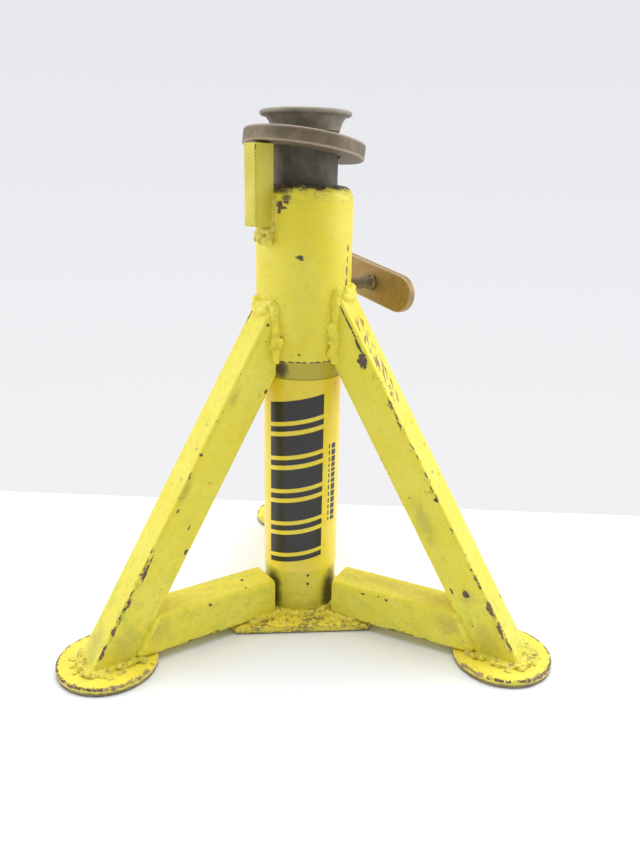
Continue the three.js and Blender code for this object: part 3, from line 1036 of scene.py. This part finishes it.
def label_mesh():
    """The wrap, with its open edges at the back as in the CAD."""
    inner = PIPE_RADIUS + 0.1
    outer = radius_of("wrap_label")
    profile = outline(rectangle(inner, low("wrap_label").z, outer, high("wrap_label").z), 0.08, 2)
    return lathe(profile, 160, -math.pi / 2 - LABEL_HALF_TURN, 2 * LABEL_HALF_TURN)


def wrapped(shape, corners, radius):
    """A thin print on the label: corners are (angle in degrees from the front, height)."""
    corners = [Vector(corner) for corner in corners]
    rows = 8
    columns = 40
    grids = []
    for level in (radius, radius + PRINT_THICKNESS):
        grid = []
        for row in range(rows + 1):
            left = corners[0].lerp(corners[3], row / rows)
            right = corners[1].lerp(corners[2], row / rows)
            spots = [left.lerp(right, column / columns) for column in range(columns + 1)]
            points = [polar(level, math.radians(spot.x - 90), spot.y) for spot in spots]
            grid.append(shape.ring(points, [FAR] * len(points)))
        for first, second in zip(grid, grid[1:]):
            shape.bridge(first, second, closed=False)
        grids.append(grid)
    rims = []
    for grid in grids:
        rim = list(grid[0])
        rim += [row[-1] for row in grid[1:]]
        rim += list(grid[-1])[-2::-1]
        rim += [row[0] for row in grid[-2:0:-1]]
        rims.append(rim)
    shape.bridge(rims[0], rims[1])


def print_mesh():
    """Plain slanted stripes, thick and thin by turns, and two columns of dashes on the label, with
    two small shapes on the pipe below it. They stand where the real ones are printed."""
    shape = Shape()
    surface = radius_of("wrap_label") + 0.01
    left = -56.0
    right = 30.0
    slant = 9.0
    top = 199.0
    pitch = 28.4
    for k in range(5):
        for drop, depth in ((0.0, 16.5), (20.0, 4.6)):
            upper = top - k * pitch - drop
            lower = upper - depth
            corners = [(left, lower - slant), (right, lower), (right, upper), (left, upper - slant)]
            wrapped(shape, corners, surface)
    rng = random.Random(12)
    height = 156.0
    dashes_end = 92.0
    while height > dashes_end:
        length = rng.uniform(3.0, 5.6)
        for start, end, share in ((48, 58, 1.0), (41.5, 44, 0.8)):
            wrapped(shape, rectangle(start, height - length * share, end, height), surface)
        height -= length + 1.0
    level = PIPE_RADIUS + 0.02
    wrapped(shape, [(6.5, 42.7), (9, 41.2), (11.5, 42.7), (9, 44.2)], level)
    wrapped(shape, rectangle(7.2, 33.8, 10.8, 36.2), level)
    return shape


# ---- post, head, ring and clamp screw ----


def head_mesh():
    """The flared mouth: a swelling flare and a thick rounded lip."""
    bore = min(math.hypot(p.x, p.y) for p in points_of("post_head"))
    lip = radius_of("post_head")
    bottom = low("post_head").z
    top = high("post_head").z
    edge = 1.85
    flare_top = top - 2 * edge
    profile = [(Vector((bore, bottom)), FAR)]
    steps = 12
    for step in range(steps + 1):
        turn = step / steps * math.pi / 2
        out = HEAD_NECK_RADIUS + 6.1 * (1 - math.cos(turn)) ** 0.75
        profile.append((Vector((out, bottom + (flare_top - bottom) * math.sin(turn))), 3.0))
    for step in range(steps + 1):
        turn = (step / steps - 0.5) * math.pi
        out = lip - edge + edge * math.cos(turn)
        # the edge distance is least on the upper outer curve of the lip, where the metal's lighter edge
        # tone paints wear and a highlight
        distance = abs(turn - math.pi / 4) * 1.2
        profile.append((Vector((out, top - edge + edge * math.sin(turn))), distance))
    for inset in (1, 2.5, 5):
        profile.append((Vector((lip - edge - inset, top)), 2.0 + inset))
    profile.append((Vector((bore + 1.6, top)), 0.5))
    profile.append((Vector((bore + 0.5, top - 0.5)), 0.0))
    profile.append((Vector((bore, top - 1.6)), 0.5))
    return lathe(profile, 192)


def ring_mesh():
    half = RING_THICKNESS / 2
    shape = lathe(outline(rectangle(RING_BORE, -half, RING_RADIUS, half), 0.9, 5), 192)
    tilt = Matrix.Rotation(-RING_TILT, 4, "Y")
    centre = Matrix.Translation((RING_SHIFT, 0, middle("lock_ring").z))
    return shape.moved(BLOCK_TURN @ centre @ tilt)


def screw_mesh():
    """A rod with a real thread."""
    per_turn = 10
    sides = 36
    shape = Shape()
    count = int((SCREW_END - SCREW_START) / THREAD_PITCH * per_turn)
    rings = []
    for k in range(count + 1):
        along = SCREW_START + (SCREW_END - SCREW_START) * k / count
        fade = min(1, (SCREW_END - along) / 3)
        points = []
        for side in range(sides):
            turn = side / sides * math.tau
            phase = (along / THREAD_PITCH - side / sides) % 1
            depth = max(0.0, abs(2 * phase - 1) * 1.25 - 0.2) * THREAD_DEPTH * fade
            out = SCREW_RADIUS - depth
            points.append(Vector((along, out * math.cos(turn), out * math.sin(turn))))
        rings.append(shape.ring(points, [2.0] * sides))
    shape.close(rings)
    return shape.moved(CLAMP_PLACE)


def handle_mesh():
    half = HANDLE_WIDTH / 2
    straight = HANDLE_LENGTH / 2 - half
    section = []
    for end in (1, -1):
        for step in range(25):
            turn = (step / 24 - 0.5) * math.pi + (0 if end > 0 else math.pi)
            section.append((Vector((end * straight + half * math.cos(turn), half * math.sin(turn))), 0.0))
        for k in range(1, 6):
            section.append((Vector((end * straight * (1 - k / 3), end * half)), 0.0))
    shape = slab(section, Vector((0, 0)), 0, HANDLE_THICKNESS, 0.9)
    across = Matrix(((0, 0, 1, 0), (1, 0, 0, 0), (0, 1, 0, 0), (0, 0, 0, 1)))
    place = Matrix.Translation((HANDLE_REACH, 0, 0)) @ Matrix.Rotation(HANDLE_TURN, 4, "X")
    return shape.moved(CLAMP_PLACE @ place @ across)


def collar_metal():
    """Weld round the clamp rod where it meets the handle."""
    path = [CLAMP_PLACE @ point for point in circle(HANDLE_REACH - 1.4, 5.2, 32)]
    return drops(path + path[:1], 1.8, 1.2, random.Random(5), 0.15)


# ---- the assembly ----


def on_pipe(radius, azimuth, height):
    """A place on a pipe, with its azimuth in degrees from the front."""
    turn = math.radians(azimuth)
    return (radius * math.sin(turn), -radius * math.cos(turn), height)


def side_chips(face, chips):
    """Chips on a bar's side, where X is face, from (across, along, half width, half length)."""
    return [((face, across, along), (3, wide, long)) for across, along, wide, long in chips]


def pipe_chips(radius, chips, deep=None):
    """Chips on a pipe, from (azimuth, height, half width, half height)."""
    return [(on_pipe(radius, turn, z), (wide, deep or wide, tall)) for turn, z, wide, tall in chips]


def leg_looks():
    half = LEG_SIDE / 2
    edge = half - 0.8
    left_chips = (
        (12.2, 287.2, 1.2, 1.8), (-3.2, 278.0, 2.2, 3.2), (-12.2, 242.5, 1.3, 2.0),
        (-4.3, 125.3, 0.7, 2.4), (-11.4, 107.2, 1.2, 2.2), (10.8, 134.0, 1.1, 2.2),
        (12.4, 88.0, 0.9, 9), (11.4, 80.0, 0.7, 5),
    )
    right_chips = (
        (12.3, 290, 0.7, 14), (11.4, 272, 1.1, 8), (9.4, 261, 4.4, 6.8),
        (13.2, 142.6, 1.4, 1.8), (-8.6, 70.4, 0.9, 3.0), (0.7, 66.2, 2.6, 3.4),
    )
    left = dict(
        worn=[((half, half, 88), (3, 3, 14)), ((half, half, 45), (3, 3, 20))],
        marks=side_chips(half, left_chips)
        + [((edge, edge, 179.3), (1.8, 1.8, 1.7)), ((-10.8, half, 288.1), (0.9, 3, 6))],
        dirty=[
            ((half, 12, 150), (4, 4, 16)),
            ((half, 10, 228), (4, 4, 12)),
            ((half, 0, 25), (4, 16, 22)),
            ((0, half, 18), (16, 4, 16)),
        ],
        grime=0.3,
        lime=0.8,
        layers=[(flaked, 1, 8, 48, 1.0), (flaked, 1, 48, 104, 1.15), (flaked, 1, 104, 260, 0.45)],
    )
    right = dict(
        worn=[((-half, half, 75), (3, 3, 20)), ((half, half, 40), (4, 4, 30))],
        marks=side_chips(-half, right_chips)
        + [((10.5, half, 47), (1.0, 2, 3.0)), ((-2.5, half, 161), (1.0, 3, 1.0))],
        dirty=[
            ((-half, 0.7, 62), (4, 8, 10)),
            ((-half, -4, 130), (4, 9, 26)),
            ((-half, 0, 25), (4, 16, 22)),
        ],
        lime=0.8,
        layers=[
            (scuffed, 218, 294, -2.5, 9.0),
            (flaked, -1, 10, 60, 1.3),
            (flaked, -1, 62, 134, 0.6),
            (flaked, -1, 134, 196, 0.95),
            (flaked, -1, 196, 250, 1.05),
            (flaked, 1, 12, 60, 0.7),
        ],
    )
    rear = dict(worn=[((half, half, 120), (6, 6, 60))])
    return {"leg_left": left, "leg_right": right, "leg_rear": rear}


def strut_looks():
    half = STRUT_SIDE / 2
    left_chips = ((12.4, 93.0, 1.6, 1.9), (-14.0, 112, 1.4, 1.6), (-14.6, 96, 0.8, 2.4))
    right_chips = (
        (12.0, 66.3, 0.9, 2.0), (12.9, 79.4, 0.7, 1.0), (11.8, 86.5, 0.9, 1.3),
        (-14.4, 70, 0.9, 3.0), (-14.6, 120, 0.9, 4.0),
    )
    left = dict(
        marks=side_chips(half, left_chips)
        + [((-0.5, half, 56.8), (1.8, 3, 1.6)), ((12.2, half, 60.0), (1.0, 3, 1.3))],
        worn=[((half, -half, 90), (5, 5, 60)), ((-half, half, 70), (5, 5, 50))],
        dirty=[((half, 5, 140), (4, 14, 18))],
    )
    right = dict(
        marks=side_chips(-half, right_chips),
        worn=[((-half, -half, 95), (5, 5, 60)), ((half, half, 85), (5, 5, 60))],
        dirty=[((2, half, 80), (15, 4, 80)), ((-half, 5, 140), (4, 14, 18))],
    )
    return {"strut_left": left, "strut_right": right, "strut_rear": {}}


def chipped_rims(g, tone, reach):
    """Large rusty chips on a pad's rim."""
    big = g.noise(4.5, 6, 0.68, 0.4)
    near_rim = g.step(g.plus(g.edge, g.times(big, 15)), reach + 7.4, reach + 6.6)
    patches = g.step(g.noise(16.0, 2, 0.5), 0.44, 0.54, 0, 0.9)
    rust = g.mix(g.step(g.noise(3.0, 4, 0.6), 0.42, 0.6), (0.40, 0.26, 0.17), (0.19, 0.115, 0.085))
    return g.mix(g.times(near_rim, patches), tone, rust)


def pad_looks():
    """Pads are brighter, with their rims chipped to rusty steel on the outer side."""
    result = {}
    for side, leg in LEGS.items():
        radius = radius_of(f"foot_pad_{side}")
        worn = []
        for swing, size in ((-38, 20), (-8, 16), (22, 22), (58, 12), (-80, 12)):
            turn = Matrix.Rotation(math.radians(swing), 3, "Z")
            place = leg.pad + turn @ leg.out * radius
            worn.append(((place.x, place.y, PLATE_THICKNESS), (size, size, 8)))
        result[f"pad_{side}"] = dict(
            color=PAD_YELLOW, chips=1.0, rust=1.0, specks=1.0, lime=0.2, worn=worn,
            layers=[(chipped_rims, 1.6), (dark_below, 3.2)],
            dirty=[(leg.at(leg.reach - 2, 0, PLATE_THICKNESS), (24, 24, 9))],
        )
    return result


def pipe_looks():
    front_chips = [
        (-8.5, 302.6, 4.2, 1.7), (-6.2, 301.4, 2.4, 1.8), (-24, 340.6, 3.0, 2.4),
        (-32, 339.0, 2.4, 3.2), (-33, 334.0, 1.5, 2.2), (-27, 336.4, 2.6, 1.4),
        (-8, 231.5, 1.1, 0.9),
    ]
    rim = (-34, -27, -16, -9, -2, 8, 15, 24, 31)
    front_chips += [(turn, SLEEVE_BOTTOM + 0.4, 2.6, 0.8) for turn in rim]
    right_chips = (
        (59, 308, 1.2, 2.2), (58.5, 299, 0.9, 3), (57.5, 292, 1.2, 4), (56.8, 283, 1.5, 3.6)
    )
    sleeve = dict(
        color=(0.88, 0.74, 0.04),
        chips=0.6,
        grime=0.1,
        worn=[
            ((0, 0, SLEEVE_BOTTOM), (45, 45, 3)),
            (on_pipe(SLEEVE_RADIUS, 58, 290), (5, 5, 20)),
        ],
        marks=pipe_chips(SLEEVE_RADIUS, front_chips, 3) + pipe_chips(SLEEVE_RADIUS, right_chips),
        dirty=[(on_pipe(SLEEVE_RADIUS, -30, 343), (14, 14, 7))],
    )
    sleeve_weld = dict(
        grime=0.5,
        specks=1.0,
        layers=[(bare_within, 32.5), (pitted, 0.35)],
        dirty=[((0, 0, SLEEVE_TOP + 11), (40, 40, 3))],
        soot_and_shade=[
            (on_pipe(SLEEVE_RADIUS - 3, -34, SLEEVE_TOP + 8), (9, 9, 4)),
            (on_pipe(SLEEVE_RADIUS - 1, -24, SLEEVE_TOP + 2), (4, 4, 3)),
            (on_pipe(SLEEVE_RADIUS - 4, 12, SLEEVE_TOP + 10), (9, 9, 1.8)),
            (on_pipe(SLEEVE_RADIUS - 4, 40, SLEEVE_TOP + 9), (6, 6, 1.5)),
        ],
    )
    pipe = dict(
        color=PIPE_YELLOW,
        grime=0.2,
        marks=pipe_chips(PIPE_RADIUS, [(-33, 217, 1.6, 1.8)], 3),
        dirty=[((0, 0, 14), (60, 60, 8))],
        # painted shade: the gap under the sleeve beside the left leg, and the pipe beside the left and
        # right strut ends, where grime lies with the shade
        soot_and_shade=[
            (on_pipe(PIPE_RADIUS, -36, 217.5), (7, 7, 7)),
            (on_pipe(PIPE_RADIUS, -51, 24), (9, 9, 24)),
            (on_pipe(PIPE_RADIUS, 52, 22), (10, 10, 22)),
        ],
        # above 190 mm, just under the sleeve, the pipe is painted darker tan: painted shade with brown
        # dirt
        layers=[(tan_above, 190)],
    )
    return {"sleeve": sleeve, "sleeve_weld": sleeve_weld, "pipe": pipe}


def small_looks():
    x = (BLOCK_END - BLOCK_START) / 2 - 0.4
    y = BLOCK_WIDTH / 2 - 0.4
    chips = ((376.0, 0.8, 2.0), (372.0, 0.6, 0.8), (370.0, 0.6, 0.8))
    marks = [((x, y, height), (wide, wide, tall)) for height, wide, tall in chips]
    return {
        "block": dict(color=(0.66, 0.56, 0.035), marks=marks),
        "rest_weld": dict(color=(0.72, 0.6, 0.06), grime=0.7, specks=1.0, layers=[(pitted, 0.3)]),
        "foot_weld": dict(color=(0.78, 0.68, 0.06), grime=0.9, specks=1.2, layers=[(pitted, 0.55)]),
        "base": dict(
            color=PAD_YELLOW, grime=0.2, chips=1.0, specks=1.2, rust=0.8,
            layers=[(pitted, 1.0), (dark_below, 1.6)],
        ),
        "base_weld": dict(
            color=PAD_YELLOW, grime=0.3, specks=1.5, rust=0.8, layers=[(pitted, 0.6)]
        ),
        "weld": dict(specks=0.7),
    }


def paints():
    """Each painted piece's material, with the chips, dirt and painted shade that it shows."""
    looks = leg_looks() | strut_looks() | pad_looks() | pipe_looks() | small_looks()
    return {name: painted(f"paint_{name}", **look) for name, look in looks.items()}


# dark and light tones, how metallic, roughness, tone of the edges (wear with a painted highlight), then
# the streaks' size
METALS = {
    "head_steel": ((0.26, 0.235, 0.175), (0.37, 0.335, 0.255), 0.2, 0.55, (0.42, 0.38, 0.29)),
    "ring_steel": ((0.165, 0.13, 0.08), (0.265, 0.205, 0.13), 0.3, 0.55, (0.46, 0.37, 0.27)),
    "post_steel": (
        (0.10, 0.085, 0.055), (0.165, 0.14, 0.095), 0.15, 0.65, (0.3, 0.27, 0.21), (0.5, 0.5, 30)
    ),
    "brassy_plate": ((0.34, 0.215, 0.075), (0.38, 0.27, 0.125), 0.6, 0.5, (0.46, 0.36, 0.24)),
    "rod_steel": ((0.17, 0.135, 0.09), (0.3, 0.25, 0.18), 0.4, 0.5, (0.4, 0.35, 0.27)),
}


def build_stand():
    materials = paints()
    for seed, leg in enumerate(LEGS.values()):
        add_leg(leg, materials, seed + 11)

    def add_fixed(name, mesh, look, node, smooth=40):
        add_piece(name, mesh, "frame", materials[look], node, smooth)

    add_fixed("base_plate_cut", base_mesh(), "base", "base_plate")
    add_weld("base_weld", base_metal(), materials["base_weld"])
    pipe = with_hole(lathe(pipe_profile("center_pipe", 0.5)), "center_pipe_tube")
    add_fixed("center_pipe_tube", pipe, "pipe", "center_pipe")
    sleeve = with_hole(lathe(pipe_profile("outer_sleeve", 0.25)), "outer_sleeve_tube")
    add_fixed("outer_sleeve_tube", sleeve, "sleeve", "outer_sleeve")
    add_fixed("sleeve_top_weld_bead", sleeve_weld_mesh(), "sleeve_weld", "sleeve_top_weld", 80)
    add_fixed("ring_rest_bar", rest_mesh(), "block", "ring_rest_block")
    add_weld("ring_rest_weld", rest_metal(), materials["rest_weld"], "ring_rest_bead")
    add_piece("wrap_label_film", label_mesh(), "frame", vinyl(), "wrap_label")
    add_piece("wrap_label_print", print_mesh(), "frame", printed())

    steel = {name: weathered(name, *look) for name, look in METALS.items()}
    post = lathe(pipe_profile("inner_post", 0.4), 192)
    for name, mesh, body, slot, metal, node in (
        ("inner_post_tube", post, "post", "post_steel", "post_steel", "inner_post"),
        ("post_head_flare", head_mesh(), "head", "bare_steel", "head_steel", "post_head"),
        ("lock_ring_disc", ring_mesh(), "ring", "bare_steel", "ring_steel", "lock_ring"),
        ("clamp_screw_thread", screw_mesh(), "clamp_rod", "rod_steel", "rod_steel", "clamp_screw"),
        (
            "clamp_handle_plate", handle_mesh(), "clamp_lever", "brassy_plate", "brassy_plate",
            "clamp_handle",
        ),
    ):
        add_piece(name, mesh, body, steel[metal], node)
    add_weld(
        "clamp_handle_weld", collar_metal(), steel["rod_steel"], "clamp_handle_bead",
        "clamp_lever", "rod_steel", voxel=0.5,
    )


# ---- table, light and camera ----

TABLE_EDGE = 0.214  # the table's back edge, behind the stand
TABLE_TURN = math.radians(-7.5)
TABLE_SIZE = 3.0
TABLE_THICKNESS = 0.03

ROOM_SHADE = 0.3
SOFTBOXES = (  # name, place, size, power
    ("left_softbox", (-1.5, 0.1, 0.8), 1.1, 8.0),
    ("right_softbox", (1.5, 0.1, 0.8), 1.1, 10.5),
    ("top_softbox", (0.1, 0.0, 1.8), 1.4, 18.0),
    ("front_softbox", (0.2, -1.2, 0.8), 1.4, 1.0),
)

CAMERA_AZIMUTH = math.radians(-3.41)
CAMERA_DISTANCE = 0.5751
CAMERA_HEIGHT = 0.3511
CAMERA_PITCH = math.radians(18.03)
CAMERA_YAW = math.radians(1.48)
CAMERA_ROLL = math.radians(1.18)
CAMERA_LENS = 31.12


def add_table():
    work = bmesh.new()
    place = (
        Matrix.Rotation(TABLE_TURN, 4, "Z")
        @ Matrix.Translation((0, TABLE_EDGE - TABLE_SIZE / 2, -TABLE_THICKNESS / 2))
        @ Matrix.Diagonal((TABLE_SIZE, TABLE_SIZE, TABLE_THICKNESS, 1))
    )
    bmesh.ops.create_cube(work, size=1, matrix=place)
    mesh = bpy.data.meshes.new("table")
    work.to_mesh(mesh)
    work.free()
    g = Graph("table_white")
    place = g.node("TexCoord").outputs["Object"]
    tone = g.mix(g.noise(0.2, 2, 0.5, 0, place), (0.88, 0.905, 0.965), (0.9, 0.92, 0.97))
    mesh.materials.append(g.finish(Base_Color=tone, Roughness=0.6))
    in_scene("table", mesh)


def add_world():
    """White surroundings, a little lilac higher up, and dim on the camera's side of the room."""
    world = bpy.data.worlds.new("world")
    world.use_nodes = True
    tree = world.node_tree

    def ramp(value, start, end, low, high):
        node = tree.nodes.new("ShaderNodeMapRange")
        node.interpolation_type = "SMOOTHSTEP"
        tree.links.new(value, node.inputs["Value"])
        for name, number in zip(("From Min", "From Max", "To Min", "To Max"), (start, end, low, high)):
            node.inputs[name].default_value = number
        return node.outputs[0]

    background = tree.nodes["Background"]
    direction = tree.nodes.new("ShaderNodeTexCoord").outputs["Generated"]
    axes = tree.nodes.new("ShaderNodeSeparateXYZ")
    tree.links.new(direction, axes.inputs[0])
    blend = tree.nodes.new("ShaderNodeMix")
    blend.data_type = "RGBA"
    blend.inputs[6].default_value = (0.885, 0.885, 0.905, 1)
    blend.inputs[7].default_value = (0.79, 0.795, 0.84, 1)
    tree.links.new(ramp(axes.outputs["Z"], -0.4, 0.35, 0, 1), blend.inputs[0])
    tree.links.new(blend.outputs[2], background.inputs["Color"])
    tree.links.new(ramp(axes.outputs["Y"], -0.75, 0.25, ROOM_SHADE, 1), background.inputs["Strength"])
    bpy.context.scene.world = world


def add_lights():
    for name, place, size, power in SOFTBOXES:
        light = bpy.data.lights.new(name, "AREA")
        light.size = size
        light.energy = power
        lamp = in_scene(name, light)
        lamp.location = place
        aim = Vector((0, 0, 0.15)) - Vector(place)
        lamp.rotation_euler = aim.to_track_quat("-Z", "Y").to_euler()


def add_camera():
    data = bpy.data.cameras.new("camera")
    data.lens = CAMERA_LENS
    data.sensor_width = 36
    camera = in_scene("camera", data)
    x = CAMERA_DISTANCE * math.sin(CAMERA_AZIMUTH)
    y = -CAMERA_DISTANCE * math.cos(CAMERA_AZIMUTH)
    turn = Matrix.Rotation(CAMERA_AZIMUTH - CAMERA_YAW, 4, "Z")
    turn = turn @ Matrix.Rotation(math.pi / 2 - CAMERA_PITCH, 4, "X")
    turn = turn @ Matrix.Rotation(CAMERA_ROLL, 4, "Z")
    camera.matrix_world = Matrix.Translation((x, y, CAMERA_HEIGHT)) @ turn
    bpy.context.scene.camera = camera


build_stand()
add_table()
add_world()
add_lights()
add_camera()
bpy.context.scene.view_settings.view_transform = "Standard"
